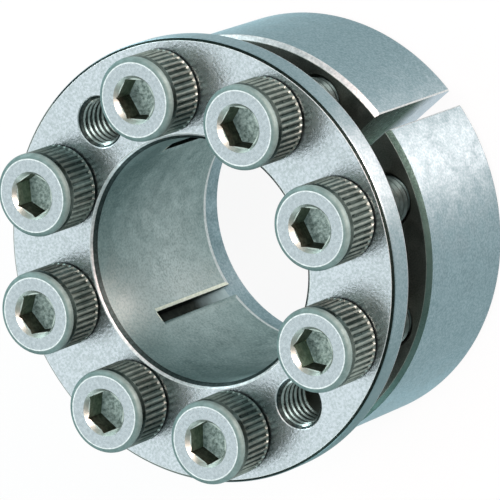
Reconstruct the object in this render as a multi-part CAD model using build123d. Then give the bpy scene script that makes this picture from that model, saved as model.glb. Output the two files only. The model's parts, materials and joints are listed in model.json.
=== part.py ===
from build123d import *
import os
from math import cos, radians, sin, tan

# Keyless locking assembly: a slotted flanged sleeve with an outside taper (inner ring)
# is drawn by eight socket head cap screws into a split ring with a matching taper bore
# (outer ring). The sleeve shrinks on the shaft while the split ring spreads in the hub.
#
# Millimetres. The origin is at the middle of the outer ring's back face, on which the
# assembly stands. +Z is the assembly's axis, towards the flange and the screw heads.
# +X points through the slit of the outer ring. The assembly is drawn as delivered, loose.

# --- Shaft and sleeve ---
SHAFT_DIAMETER = 38.0
SLEEVE_WALL = 2.5            # at the thick end of the taper, next to the flange
TAPER_ANGLE = 5.0            # degrees, between the cone and the axis
SLEEVE_SETBACK = 4.0         # from the outer ring's back face up to the sleeve's end
BORE_MOUTH_CHAMFER = 0.8
BORE_LEAD_DEPTH = 0.2        # slim lead-in at the sleeve's end
BORE_LEAD_LENGTH = 0.9
SLEEVE_END_CHAMFER = 0.2
SLOT_COUNT = 4
SLOT_WIDTH = 2.0
SLOT_NECK = 3.2              # solid sleeve left between the flange's shoulder and the slots

# --- Outer ring ---
OUTER_RING_LENGTH = 22.0
HOLE_WALL_INSIDE = 1.0       # between the taper bore and a tapped hole, at the front
HOLE_WALL_OUTSIDE = 1.95     # between a tapped hole and the outside
SLIT_WIDTH = 2.8
OUTER_RING_FRONT_CHAMFER = 0.7
OUTER_RING_BACK_CHAMFER = 0.5
TAPER_MOUTH_CHAMFER = 0.3

# --- Flange ---
FLANGE_THICKNESS = 4.5       # at the rim, which stops against the hub's face
FLANGE_GAP = 9.5             # open gap between the rim and the outer ring, as delivered
FLANGE_OVERHANG = 2.0        # how far the rim stands out past the outer ring
FLANGE_CHAMFER = 0.5
SHOULDER_HEIGHT = 3.0        # of the thicker middle of the flange, behind the rim
SHOULDER_INSET = 1.0         # between the shoulder and the hub's bore
NECK_CHAMFER = 0.6           # left in the corner between the sleeve and the shoulder
JACK_CORE_DIAMETER = 6.8     # tapped for a jacking screw of the same thread
JACK_MOUTH_CHAMFER = 0.6

# --- Clamping travel ---
CLAMP_TRAVEL = 2.0
CLOSED_CLEARANCE = 0.05      # between the two cones at the end of the travel

# --- Screws ---
SCREW_COUNT = 8
SCREW_SPACING = 41.0         # degrees between neighbours of one group of four
THREAD_DIAMETER = 8.0
THREAD_CLEARANCE = 0.05      # radial, screw in its tapped hole
SCREW_LENGTH = 30.0
SCREW_TIP_CHAMFER = 0.9
CLEARANCE_HOLE_DIAMETER = 9.0
HEAD_DIAMETER = 13.0
HEAD_HEIGHT = 8.0
HEAD_EDGE_RADIUS = 0.8
HEAD_PLAIN_BAND = 1.5        # smooth band above the knurl
HEAD_SEAT_CHAMFER = 0.3
KNURL_TEETH = 40
KNURL_DEPTH = 0.3
SOCKET_FLATS = 6.0
SOCKET_DEPTH = 4.0
SOCKET_LEAD_DIAMETER = 7.1
SOCKET_LEAD_SLOPE = 30.0     # degrees below the head's top face
SOCKET_TURNS = (17, 21, 53, 32, 43, 50, 13, 18)   # degrees, as each screw came to stop

# --- Derived sizes ---
slope = tan(radians(TAPER_ANGLE))
bore_radius = SHAFT_DIAMETER / 2
neck_radius = bore_radius + SLEEVE_WALL
ring_front = OUTER_RING_LENGTH
flange_back = ring_front + FLANGE_GAP
flange_front = flange_back + FLANGE_THICKNESS
shoulder_back = flange_back - SHOULDER_HEIGHT
cone_top = ring_front + CLAMP_TRAVEL
sleeve_end_radius = neck_radius - (cone_top - SLEEVE_SETBACK) * slope
taper_front_radius = neck_radius + CLOSED_CLEARANCE
taper_back_radius = taper_front_radius - OUTER_RING_LENGTH * slope
screw_circle_radius = taper_front_radius + HOLE_WALL_INSIDE + THREAD_DIAMETER / 2
hub_radius = screw_circle_radius + THREAD_DIAMETER / 2 + HOLE_WALL_OUTSIDE
flange_radius = hub_radius + FLANGE_OVERHANG
shoulder_radius = hub_radius - SHOULDER_INSET
hole_overrun = 1.0           # how far a cutter runs past the face that it leaves


def turned(points):
    """Turn a closed half profile of (radius, height) points about the axis."""
    return revolve(Plane.XZ * make_face(Polyline(*points, close=True)), Axis.Z)


def around(angle, radius=0.0, height=0.0):
    """Place on the assembly's axis: an angle from the slit, a radius and a height."""
    return Rot(0, 0, angle) * Pos(radius, 0, height)


def standing_cylinder(radius, bottom, top):
    """Cylinder on the axis between two heights."""
    return Pos(0, 0, bottom) * extrude(Circle(radius), top - bottom)


def screw_angles():
    """Angles of the screws: two groups of four, each centred across the slit's plane."""
    group = SCREW_COUNT // 2
    first = -SCREW_SPACING * (group - 1) / 2
    angles = [side + first + SCREW_SPACING * i for side in (0, 180) for i in range(group)]
    return sorted(angle % 360 for angle in angles)


def jack_angles():
    """Angles of the two jacking holes, midway in the wide gaps between the groups."""
    return (90, 270)


def make_inner_ring():
    """Flange and tapered, slotted sleeve, turned in one piece."""
    mouth = bore_radius + BORE_MOUTH_CHAMFER
    lead = bore_radius + BORE_LEAD_DEPTH
    outline = [
        (lead, SLEEVE_SETBACK),
        (sleeve_end_radius - SLEEVE_END_CHAMFER, SLEEVE_SETBACK),
        (sleeve_end_radius, SLEEVE_SETBACK + SLEEVE_END_CHAMFER),
        (neck_radius, cone_top),
        (neck_radius, shoulder_back),
        (shoulder_radius - FLANGE_CHAMFER, shoulder_back),
        (shoulder_radius, shoulder_back + FLANGE_CHAMFER),
        (shoulder_radius, flange_back),
        (flange_radius - FLANGE_CHAMFER, flange_back),
        (flange_radius, flange_back + FLANGE_CHAMFER),
        (flange_radius, flange_front - FLANGE_CHAMFER),
        (flange_radius - FLANGE_CHAMFER, flange_front),
        (mouth, flange_front),
        (bore_radius, flange_front - BORE_MOUTH_CHAMFER),
        (bore_radius, SLEEVE_SETBACK + BORE_LEAD_LENGTH),
    ]
    profile = make_face(Polyline(*outline, close=True))
    root = profile.vertices().sort_by_distance((neck_radius, shoulder_back))[0]
    ring = revolve(Plane.XZ * chamfer(root, NECK_CHAMFER), Axis.Z)

    slot_bottom = SLEEVE_SETBACK - hole_overrun
    slot_top = shoulder_back - SLOT_NECK
    slot_reach = SLEEVE_WALL + 2 * hole_overrun
    slot = Box(slot_reach, SLOT_WIDTH, slot_top - slot_bottom)
    slot_centre = bore_radius + SLEEVE_WALL / 2
    for i in range(SLOT_COUNT):
        place = around(360 * i / SLOT_COUNT, slot_centre, (slot_bottom + slot_top) / 2)
        ring -= place * slot

    hole = standing_cylinder(
        CLEARANCE_HOLE_DIAMETER / 2, shoulder_back - hole_overrun, flange_front + hole_overrun
    )
    for angle in screw_angles():
        ring -= around(angle, screw_circle_radius) * hole

    core = JACK_CORE_DIAMETER / 2
    jack_hole = turned([
        (0, shoulder_back - hole_overrun),
        (core, shoulder_back - hole_overrun),
        (core, flange_front - JACK_MOUTH_CHAMFER),
        (core + JACK_MOUTH_CHAMFER + hole_overrun, flange_front + hole_overrun),
        (0, flange_front + hole_overrun),
    ])
    for angle in jack_angles():
        ring -= around(angle, screw_circle_radius) * jack_hole
    return ring


def make_outer_ring():
    """Split ring with a taper bore and the tapped holes for the screws."""
    ring = turned([
        (taper_back_radius, 0),
        (hub_radius - OUTER_RING_BACK_CHAMFER, 0),
        (hub_radius, OUTER_RING_BACK_CHAMFER),
        (hub_radius, ring_front - OUTER_RING_FRONT_CHAMFER),
        (hub_radius - OUTER_RING_FRONT_CHAMFER, ring_front),
        (taper_front_radius + TAPER_MOUTH_CHAMFER, ring_front),
        (taper_front_radius - TAPER_MOUTH_CHAMFER * slope, ring_front - TAPER_MOUTH_CHAMFER),
    ])
    hole = standing_cylinder(THREAD_DIAMETER / 2, -hole_overrun, ring_front + hole_overrun)
    for angle in screw_angles():
        ring -= around(angle, screw_circle_radius) * hole

    wall = hub_radius - taper_back_radius + 2 * hole_overrun
    slit = Box(wall, SLIT_WIDTH, OUTER_RING_LENGTH + 2 * hole_overrun)
    return ring - Pos((hub_radius + taper_back_radius) / 2, 0, ring_front / 2) * slit


def make_screw():
    """Knurled socket head cap screw, its head seated on height zero."""
    head_radius = HEAD_DIAMETER / 2
    root_radius = head_radius - KNURL_DEPTH
    knurl_top = HEAD_HEIGHT - HEAD_PLAIN_BAND
    band = turned([
        (0, knurl_top),
        (head_radius, knurl_top),
        (head_radius, HEAD_HEIGHT),
        (0, HEAD_HEIGHT),
    ])
    rim = band.edges().filter_by(GeomType.CIRCLE).sort_by(Axis.Z)[-1]
    screw = fillet(rim, HEAD_EDGE_RADIUS)

    step = 180 / KNURL_TEETH
    teeth = []
    for i in range(2 * KNURL_TEETH):
        radius = head_radius if i % 2 == 0 else root_radius
        teeth.append((radius * cos(radians(i * step)), radius * sin(radians(i * step))))
    knurl = extrude(make_face(Polyline(*teeth, close=True)), knurl_top - HEAD_SEAT_CHAMFER)
    screw += Pos(0, 0, HEAD_SEAT_CHAMFER) * knurl
    screw += turned([
        (0, 0),
        (root_radius - HEAD_SEAT_CHAMFER, 0),
        (root_radius, HEAD_SEAT_CHAMFER),
        (0, HEAD_SEAT_CHAMFER),
    ])

    shank_radius = THREAD_DIAMETER / 2 - THREAD_CLEARANCE
    screw += turned([
        (0, -SCREW_LENGTH),
        (shank_radius - SCREW_TIP_CHAMFER, -SCREW_LENGTH),
        (shank_radius, -SCREW_LENGTH + SCREW_TIP_CHAMFER),
        (shank_radius, 0),
        (0, 0),
    ])

    hexagon = RegularPolygon(SOCKET_FLATS / 2, 6, major_radius=False)
    screw -= Pos(0, 0, HEAD_HEIGHT - SOCKET_DEPTH) * extrude(hexagon, SOCKET_DEPTH)
    lead_radius = SOCKET_LEAD_DIAMETER / 2
    lead_depth = lead_radius * tan(radians(SOCKET_LEAD_SLOPE))
    screw -= turned([
        (0, HEAD_HEIGHT - lead_depth),
        (lead_radius, HEAD_HEIGHT),
        (0, HEAD_HEIGHT),
    ])
    return screw


os.makedirs("parts", exist_ok=True)
export_step(make_inner_ring(), "parts/inner_ring.step")
export_step(make_outer_ring(), "parts/outer_ring.step")
cap_screw = make_screw()
for number, angle in enumerate(screw_angles(), start=1):
    seat = around(angle, screw_circle_radius, flange_front)
    turn = Rot(0, 0, SOCKET_TURNS[number - 1] - angle)
    export_step(seat * turn * cap_screw, f"parts/screw_{number}.step")
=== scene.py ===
"""Dresses a keyless locking assembly: plated steel rings, knurled cap screws and a plain studio.

Lengths are metres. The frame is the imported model's: the outer ring's back face stands on the
floor, +Z runs along the shaft towards the screw heads and +X through the outer ring's slit.
Azimuths are degrees from the slit.
"""

from __future__ import annotations

import json
import logging
import math
from contextlib import contextmanager
from dataclasses import dataclass
from enum import Enum
from typing import Callable, Iterator, NamedTuple, Protocol, Sequence

import bmesh
import bpy
from mathutils import Matrix, Vector

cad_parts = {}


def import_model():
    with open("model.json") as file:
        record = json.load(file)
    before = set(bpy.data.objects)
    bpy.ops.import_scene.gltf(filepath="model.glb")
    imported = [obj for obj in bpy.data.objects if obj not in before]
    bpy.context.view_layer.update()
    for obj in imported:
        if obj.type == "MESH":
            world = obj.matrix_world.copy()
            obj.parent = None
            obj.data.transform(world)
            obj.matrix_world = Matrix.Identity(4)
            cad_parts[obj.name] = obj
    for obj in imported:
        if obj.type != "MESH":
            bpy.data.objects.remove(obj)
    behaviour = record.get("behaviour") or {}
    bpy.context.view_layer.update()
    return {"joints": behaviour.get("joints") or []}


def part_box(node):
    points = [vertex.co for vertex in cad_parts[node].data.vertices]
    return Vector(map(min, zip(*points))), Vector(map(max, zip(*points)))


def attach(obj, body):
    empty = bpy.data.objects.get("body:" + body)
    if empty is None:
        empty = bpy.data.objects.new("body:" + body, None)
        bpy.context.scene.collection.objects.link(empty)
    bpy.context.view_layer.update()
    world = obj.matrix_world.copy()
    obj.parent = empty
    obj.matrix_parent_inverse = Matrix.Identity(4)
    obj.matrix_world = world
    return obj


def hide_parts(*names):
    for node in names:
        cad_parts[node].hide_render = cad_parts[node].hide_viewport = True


LOG = logging.getLogger("locking_assembly")
MM = 0.001
ROUND_TURN = 2 * math.pi
TAPER = math.radians(5.0)
WELD = 0.001 * MM           # points nearer than this are one point
SMOOTH_ANGLE = math.radians(32.0)
RING_STEPS = 288            # columns round a ring
HOLE_STEPS = 72             # columns round a hole
LEVEL = 0.998               # a face whose normal rises more than this lies flat
THREAD_PITCH = 1.25 * MM
SHADED_SIDE = -136.0           # azimuth of the side whose socket walls get painted shade
SOCKET_TURNS = (17, 21, 53, 32, 43, 50, 13, 18)

Piece = bpy.types.Object
Socket = bpy.types.NodeSocket
Colour = tuple[float, float, float]
Span = tuple[float, float]
Point = tuple[float, float]


class Corner(NamedTuple):
    """One corner of a turned outline.

    Attributes:
        radius: Distance from the axis.
        height: Height along the axis.
        softness: How far along both sides the corner is rounded off.
    """

    radius: float
    height: float
    softness: float = 0.0


class Turning(Enum):
    """Which way the marks of the lathe tool run over a surface."""

    FACED = "faced"
    BARREL = "barrel"


# --- Bench tools: small steps that several pieces share ---


def deselect_everything() -> None:
    """Leave edit mode and deselect all objects."""
    if bpy.context.object and bpy.context.object.mode != "OBJECT":
        bpy.ops.object.mode_set(mode="OBJECT")
    bpy.ops.object.select_all(action="DESELECT")


def hold(piece: Piece) -> None:
    """Select one piece alone and make it the active one."""
    deselect_everything()
    piece.select_set(True)
    bpy.context.view_layer.objects.active = piece


def take_all() -> None:
    """Select everything in the piece that is being edited."""
    bpy.ops.mesh.select_all(action="SELECT")


@contextmanager
def editing(piece: Piece) -> Iterator[None]:
    """Hold a piece in edit mode, with nothing selected in it.

    Args:
        piece: The mesh object to edit.
    """
    hold(piece)
    bpy.ops.object.mode_set(mode="EDIT")
    bpy.ops.mesh.select_all(action="DESELECT")
    yield
    bpy.ops.object.mode_set(mode="OBJECT")


def pick_vertices(piece: Piece, wanted: Callable[[Vector], bool]) -> None:
    """Select the vertices of a piece in edit mode by their place.

    Args:
        piece: The object being edited.
        wanted: Says for a place whether its vertex is selected.
    """
    mesh = bmesh.from_edit_mesh(piece.data)
    for vertex in mesh.verts:
        vertex.select_set(wanted(vertex.co))
    mesh.select_flush_mode()
    bmesh.update_edit_mesh(piece.data)


def soften(corners: Sequence[Corner], steps: int = 5) -> list[Point]:
    """Round off the corners of an outline.

    Args:
        corners: The outline's corners in order; its two ends stay sharp.
        steps: Points on each rounded corner, less one.

    Returns:
        The outline's points as (radius, height).
    """
    points = []
    last = len(corners) - 1
    for i, corner in enumerate(corners):
        here = Vector((corner.radius, corner.height))
        if corner.softness == 0.0 or i in (0, last):
            points.append((here.x, here.y))
            continue
        back = (Vector(corners[i - 1][:2]) - here).normalized() * corner.softness
        ahead = (Vector(corners[i + 1][:2]) - here).normalized() * corner.softness
        for step in range(steps + 1):
            share = step / steps
            place = here + back * (1 - share) ** 2 + ahead * share**2
            points.append((place.x, place.y))
    return points


def trace(name: str, points: Sequence[Point]) -> Piece:
    """Draw a line through points above the +X axis.

    Args:
        name: The new object's name.
        points: The points as (radius, height).

    Returns:
        The line's object.
    """
    deselect_everything()
    bpy.ops.mesh.primitive_plane_add(size=MM)
    line = bpy.context.object
    line.name = name
    line.data.name = name
    with editing(line):
        take_all()
        bpy.ops.mesh.merge(type="CENTER")
        bpy.ops.transform.translate(value=(points[0][0], 0, points[0][1]))
        for start, end in zip(points, points[1:]):
            move = (end[0] - start[0], 0, end[1] - start[1])
            bpy.ops.mesh.extrude_vertices_move(TRANSFORM_OT_translate={"value": move})
    return line


def lathe(name: str, outline: Sequence[Point], steps: int) -> Piece:
    """Turn an outline about the axis into a closed skin.

    Args:
        name: The new object's name.
        outline: Points as (radius, height); it ends where it starts, or on the axis.
        steps: Columns round the axis.

    Returns:
        The turned object.
    """
    piece = trace(name, outline)
    with editing(piece):
        take_all()
        bpy.ops.mesh.spin(steps=steps, angle=ROUND_TURN, center=(0, 0, 0), axis=(0, 0, 1))
        take_all()
        bpy.ops.mesh.remove_doubles(threshold=WELD / 2)
        bpy.ops.mesh.normals_make_consistent(inside=False)
    return piece


def twin(piece: Piece, name: str) -> Piece:
    """Copy a piece with a mesh of its own.

    Args:
        piece: The object to copy.
        name: The copy's name.

    Returns:
        The copy, linked to the scene.
    """
    copy = piece.copy()
    copy.data = piece.data.copy()
    copy.name = name
    copy.data.name = name
    bpy.context.scene.collection.objects.link(copy)
    return copy


def settle(piece: Piece, place: Matrix) -> None:
    """Move a piece's mesh to a place, so that its object stays at the origin."""
    piece.data.transform(place)
    piece.data.update()


def join(pieces: Sequence[Piece]) -> Piece:
    """Join several objects into the first of them.

    Args:
        pieces: The objects to join.

    Returns:
        The joined object.
    """
    hold(pieces[0])
    for piece in pieces:
        piece.select_set(True)
    bpy.ops.object.join()
    return pieces[0]


def carve(piece: Piece, cutter: Piece, keep: str = "DIFFERENCE") -> None:
    """Cut one piece with another, which is then thrown away.

    Args:
        piece: The object that is cut.
        cutter: The object that cuts it.
        keep: What the cut keeps, in the words of the Boolean modifier.
    """
    hold(piece)
    cut = piece.modifiers.new("cut", "BOOLEAN")
    cut.object = cutter
    cut.operation = keep
    cut.solver = "EXACT"
    bpy.ops.object.modifier_apply(modifier=cut.name)
    bpy.data.objects.remove(cutter)


def smooth(piece: Piece) -> None:
    """Shade a piece smooth except over its sharp edges."""
    hold(piece)
    bpy.ops.object.shade_smooth_by_angle(angle=SMOOTH_ANGLE)


def ring_distance(place: Vector) -> float:
    """Distance of a place from the axis."""
    return math.hypot(place.x, place.y)


def direction(azimuth: float, elevation: float) -> Vector:
    """Unit vector towards an azimuth and an elevation in degrees."""
    turn, rise = math.radians(azimuth), math.radians(elevation)
    return Vector((math.cos(rise) * math.cos(turn), math.cos(rise) * math.sin(turn), math.sin(rise)))


def outward(place: Vector) -> Vector:
    """Unit vector away from the axis at a place."""
    return Vector((place.x, place.y, 0)).normalized()


def standing(azimuth: float, radius: float, height: float, turn: float = 0.0) -> Matrix:
    """Place about the axis.

    Args:
        azimuth: Degrees from the slit.
        radius: Distance from the axis.
        height: Height of the place.
        turn: Degrees by which the piece is turned about its own axis.

    Returns:
        The matrix of that place.
    """
    angle = math.radians(azimuth)
    away = Matrix.Translation((radius * math.cos(angle), radius * math.sin(angle), height))
    return away @ Matrix.Rotation(math.radians(turn), 4, "Z")


def drill(radius: float, bevel: float, low: float, high: float) -> Piece:
    """Make a cutter for a round hole, bevelled at both ends.

    Args:
        radius: The hole's radius.
        bevel: Width of its bevels.
        low: Height of its lower end.
        high: Height of its upper end.

    Returns:
        The cutter, about the axis.
    """
    wide = radius + bevel + MM
    return lathe("hole", [
        (0, low - MM), (wide, low - MM), (radius, low + bevel),
        (radius, high - bevel), (wide, high + MM), (0, high + MM),
    ], HOLE_STEPS)


def spread_round(cutter: Piece, azimuths: Sequence[float], circle: float) -> list[Piece]:
    """Put a cutter at several places of a circle.

    Args:
        cutter: The cutter about the axis; it is used up.
        azimuths: Where on the circle the copies stand.
        circle: The circle's radius.

    Returns:
        The copies.
    """
    copies = []
    for i, azimuth in enumerate(azimuths):
        copies.append(twin(cutter, f"{cutter.name}_{i}"))
        settle(copies[-1], standing(azimuth, circle, 0))
    bpy.data.objects.remove(cutter)
    return copies


def saw(
    reach: Point, heights: Point, width: float, bend: float, flare: float, inward: bool = False
) -> Piece:
    """Make a saw blade along +X that flares towards one end, to break the edges of its cut.

    Args:
        reach: Where the blade starts and ends along +X.
        heights: Its lowest and highest point.
        width: The cut's width.
        bend: Where along +X the flare starts.
        flare: How many times wider the blade is at the flared end.
        inward: Whether it flares at its start instead of its end.

    Returns:
        The blade.
    """
    deselect_everything()
    bpy.ops.mesh.primitive_cube_add(size=1, location=(0, 0, 0))
    blade = bpy.context.object
    blade.scale = (reach[1] - reach[0], width, heights[1] - heights[0])
    blade.location = (sum(reach) / 2, 0, sum(heights) / 2)
    bpy.ops.object.transform_apply(location=True, rotation=False, scale=True)
    end = reach[0] if inward else reach[1]
    with editing(blade):
        take_all()
        bpy.ops.mesh.bisect(plane_co=(bend, 0, 0), plane_no=(1, 0, 0), threshold=WELD)
        pick_vertices(blade, lambda place: abs(place.x - end) < 0.1 * MM)
        bpy.ops.transform.resize(value=(1, flare, 1), center_override=(end, 0, 0))
    return blade


class Spot(NamedTuple):
    """Middle of one face.

    Attributes:
        place: Where it is.
        normal: Which way the face looks.
        out: Distance from the axis.
        up: Height along the axis.
        lean: 1 if the face looks up, 0 if it is an upright wall, -1 if it looks down.
    """

    place: Vector
    normal: Vector
    out: float
    up: float
    lean: float


class Coats:
    """The finishes of one piece, laid over its faces."""

    def __init__(self, piece: Piece, finishes: Sequence[Finish]) -> None:
        """Look over the faces of a piece.

        Args:
            piece: The object to dress.
            finishes: Its finishes, in the order of its slots.
        """
        self.piece = piece
        self.finishes = finishes
        self.spots = []
        for face in piece.data.polygons:
            place, normal = face.center.copy(), face.normal.copy()
            self.spots.append(Spot(place, normal, ring_distance(place), place.z, normal.z))

    def lay(self) -> None:
        """Make the materials and cover every face with the first of them."""
        self.piece.data.materials.clear()
        for finish in self.finishes:
            self.piece.data.materials.append(finish.material())
        self.paint(self.finishes[0], lambda spot: True)

    def paint(self, finish: Finish, wanted: Callable[[Spot], bool]) -> None:
        """Cover some faces with one of the finishes.

        Args:
            finish: The finish.
            wanted: Says for the middle of a face whether it gets that finish.
        """
        slot = self.finishes.index(finish)
        for face, spot in zip(self.piece.data.polygons, self.spots):
            if wanted(spot):
                face.material_index = slot

    def paint_edge(self, finish: Finish, radius: float, height: float, reach: float) -> None:
        """Cover the faces along one turned edge.

        Args:
            finish: The finish.
            radius: The edge's radius.
            height: The edge's height.
            reach: How far from the edge a face still belongs to it.
        """
        self.paint(finish, lambda spot: abs(spot.lean) < LEVEL and (
            math.hypot(spot.out - radius, spot.up - height) < reach
        ))


# --- Finishes ---


Tone = Sequence[float] | Socket
PATCH_WANDER = 16 * MM      # how far the outline of a painted lighting patch wanders in and out
SHADE_WANDER = 3 * MM         # the same for the height at which the painted shade thins
SATIN = {"roughness": (0.36, 0.54), "anisotropy": 0.8, "grain_depth": 0.010 * MM, "grain_size": 0.36 * MM}


class Wiring:
    """Shorthand for wiring the nodes of a material or a world."""

    def __init__(self, owner: bpy.types.Material | bpy.types.World) -> None:
        """Take up the nodes.

        Args:
            owner: Whose nodes they are.
        """
        owner.use_nodes = True
        self.owner = owner
        self.nodes = owner.node_tree.nodes
        self.coordinates = self.add("ShaderNodeTexCoord").outputs
        self.place = self.coordinates["Object"]

    def feed(self, socket: Socket, value: object) -> None:
        """Give an input a value, or link it to an output.

        Args:
            socket: The input.
            value: A plain value or an output.
        """
        if isinstance(value, Socket):
            self.owner.node_tree.links.new(value, socket)
        else:
            socket.default_value = value

    def add(
        self, kind: str, inputs: dict[str | int, object] | None = None, **settings: object
    ) -> bpy.types.Node:
        """Add a node.

        Args:
            kind: The node's type.
            inputs: What its inputs are given, by their names or numbers.
            **settings: Attributes to set on it.

        Returns:
            The node.
        """
        node = self.nodes.new(kind)
        for name, value in settings.items():
            setattr(node, name, value)
        for name, value in (inputs or {}).items():
            self.feed(node.inputs[name], value)
        return node

    def math(self, work: str, *values: float | Socket) -> Socket:
        """Do sums on numbers or outputs.

        Args:
            work: The Math node's operation.
            *values: Numbers or outputs.

        Returns:
            The result.
        """
        return self.add("ShaderNodeMath", dict(enumerate(values)), operation=work).outputs[0]

    def grain(self, scale: float, detail: float, along: Socket | None = None) -> Socket:
        """Add a noise pattern.

        Args:
            scale: Grains per metre.
            detail: Octaves of finer grain.
            along: Where the pattern is read; the object's own place if left out.

        Returns:
            The noise's value.
        """
        inputs = {"Scale": scale, "Detail": detail, "Roughness": 0.62, "Vector": along or self.place}
        return self.add("ShaderNodeTexNoise", inputs).outputs["Fac"]

    def spread(
        self, value: Socket, low: float, high: float, span: Span = (0.3, 0.7), **settings: object
    ) -> Socket:
        """Map a pattern onto a range.

        Args:
            value: The pattern.
            low: What the span's lower end becomes.
            high: What the span's upper end becomes.
            span: The part of the pattern that is used.
            **settings: Attributes to set on the node.

        Returns:
            The mapped value.
        """
        inputs = {"Value": value, "From Min": span[0], "From Max": span[1], "To Min": low, "To Max": high}
        return self.add("ShaderNodeMapRange", inputs, **settings).outputs["Result"]

    def blend(self, share: Socket, first: Tone, second: Tone) -> Socket:
        """Blend two colours.

        Args:
            share: How much of the second colour shows.
            first: Red, green and blue of the first, or an output that gives them.
            second: Red, green and blue of the second, or an output that gives them.

        Returns:
            The blended colour.
        """
        first, second = (tone if isinstance(tone, Socket) else (*tone, 1) for tone in (first, second))
        node = self.add("ShaderNodeMix", {"A": first, "B": second, "Factor": share}, data_type="RGBA")
        return next(output for output in node.outputs if output.type == "RGBA")

    def round_and_up(self) -> tuple[Socket, Socket]:
        """Split the place into its distance from the axis and its height.

        Returns:
            The distance and the height.
        """
        parts = self.add("ShaderNodeSeparateXYZ", {0: self.place}).outputs
        across = self.math("MULTIPLY", parts["X"], parts["X"])
        along = self.math("MULTIPLY", parts["Y"], parts["Y"])
        return self.math("SQRT", self.math("ADD", across, along)), parts["Z"]

    def bump(self, height: Socket, depth: float, before: Socket | None = None) -> Socket:
        """Raise the surface by a pattern.

        Args:
            height: The pattern, from 0 to 1.
            depth: The relief's full height in metres.
            before: A relief that this one is laid over.

        Returns:
            The bumped normal.
        """
        inputs = {"Strength": 1.0, "Distance": depth, "Height": height}
        if before is not None:
            inputs["Normal"] = before
        return self.add("ShaderNodeBump", inputs).outputs["Normal"]


class Finish(Protocol):
    """Anything that can make a material."""

    def material(self) -> bpy.types.Material:
        """Make the finish's material."""


@dataclass(frozen=True)
class PlatedSteel:
    """What all plated steel has in common.

    Attributes:
        name: The material's name.
        pale: The plating's lighter colour.
        deep: The plating's darker colour.
        roughness: Lowest and highest roughness.
        grain_depth: Depth of the plating's grain.
        edge_tint: How much is mirrored at a glancing angle.
    """

    name: str
    pale: Colour
    deep: Colour
    roughness: Span
    grain_depth: float = 0.002 * MM
    edge_tint: Colour = (0.55, 0.6, 0.6)

    def wire(self, scale: float, detail: float) -> Wiring:
        """Start the material as a bare metal of uneven polish.

        Args:
            scale: Grains of polish per metre.
            detail: Octaves of finer grain.

        Returns:
            The material's wiring.
        """
        wiring = Wiring(bpy.data.materials.new(self.name))
        shader = wiring.nodes["Principled BSDF"].inputs
        shader["Metallic"].default_value = 1.0
        shader["Specular Tint"].default_value = (*self.edge_tint, 1)
        wiring.feed(shader["Roughness"], wiring.spread(wiring.grain(scale, detail), *self.roughness))
        return wiring


@dataclass(frozen=True)
class TurnedSteel(PlatedSteel):
    """Zinc-plated steel with the fine marks of the lathe under a satin grain.

    Attributes:
        turning: Which way the tool ran.
        anisotropy: How strongly highlights spread across the tool marks.
        mark_pitch: Spacing of the tool marks.
        mark_depth: Depth of the tool marks.
        grain_size: Width of one grain.
        speckle: Share of the tone that comes from single grains instead of clouds.
        lighting_patch: Middle of a painted patch: a painted highlight where its tone is pale, painted shade
            where it is dark.
        lighting_patch_reach: How far the painted patch reaches; none if zero.
        lighting_patch_tone: The painted patch's colour.
    """

    turning: Turning = Turning.BARREL
    anisotropy: float = 0.0
    mark_pitch: float = 0.12 * MM
    mark_depth: float = 0.0006 * MM
    grain_size: float = 0.25 * MM
    speckle: float = 0.5
    lighting_patch: tuple[float, float, float] = (0.0, 0.0, 0.0)
    lighting_patch_reach: float = 0.0
    lighting_patch_tone: Colour = (0.6, 0.7, 0.69)

    def material(self) -> bpy.types.Material:
        """Make the finish's material.

        Returns:
            The new material.
        """
        wiring = self.wire(420.0, 4.0)
        shader = wiring.nodes["Principled BSDF"].inputs
        cloud = wiring.grain(160.0, 5.0)
        speck = wiring.grain(1.0 / self.grain_size, 2.0)
        clouds = wiring.math("MULTIPLY", cloud, 1 - self.speckle)
        tone = wiring.math("MULTIPLY_ADD", speck, self.speckle, clouds)
        share = wiring.spread(tone, 0.0, 1.0, (0.38, 0.62))
        colour = wiring.blend(share, self.deep, self.pale)
        if self.lighting_patch_reach:
            # Painted lighting patch: a tone blended over the colour round a point, pale for a painted
            # highlight, dark for painted shade.
            apart = wiring.add("ShaderNodeVectorMath", {0: wiring.place, 1: self.lighting_patch}, operation="DISTANCE")
            ragged = wiring.math("MULTIPLY_ADD", tone, PATCH_WANDER, apart.outputs["Value"])
            middle = PATCH_WANDER / 2
            span = (0.2 * self.lighting_patch_reach + middle, self.lighting_patch_reach + middle)
            patch_share = wiring.spread(ragged, 0.85, 0.0, span)
            mottled = wiring.math("MULTIPLY", patch_share, wiring.spread(speck, 0.45, 1.0, (0.38, 0.58)))
            colour = wiring.blend(mottled, colour, self.lighting_patch_tone)
        wiring.feed(shader["Base Color"], colour)

        away, height = wiring.round_and_up()
        track = away if self.turning is Turning.FACED else height
        line = wiring.add("ShaderNodeCombineXYZ", {"X": wiring.math("DIVIDE", track, self.mark_pitch)})
        marked = wiring.bump(wiring.grain(1.0, 2.0, line.outputs[0]), self.mark_depth)
        grain = wiring.grain(0.9 / self.grain_size, 3.0)
        wiring.feed(shader["Normal"], wiring.bump(grain, self.grain_depth, marked))
        if self.anisotropy:
            shader["Anisotropic"].default_value = self.anisotropy
            shader["Anisotropic Rotation"].default_value = 0.25
            tangent = wiring.add("ShaderNodeTangent", direction_type="RADIAL", axis="Z")
            wiring.feed(shader["Tangent"], tangent.outputs[0])
        return wiring.owner


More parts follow.
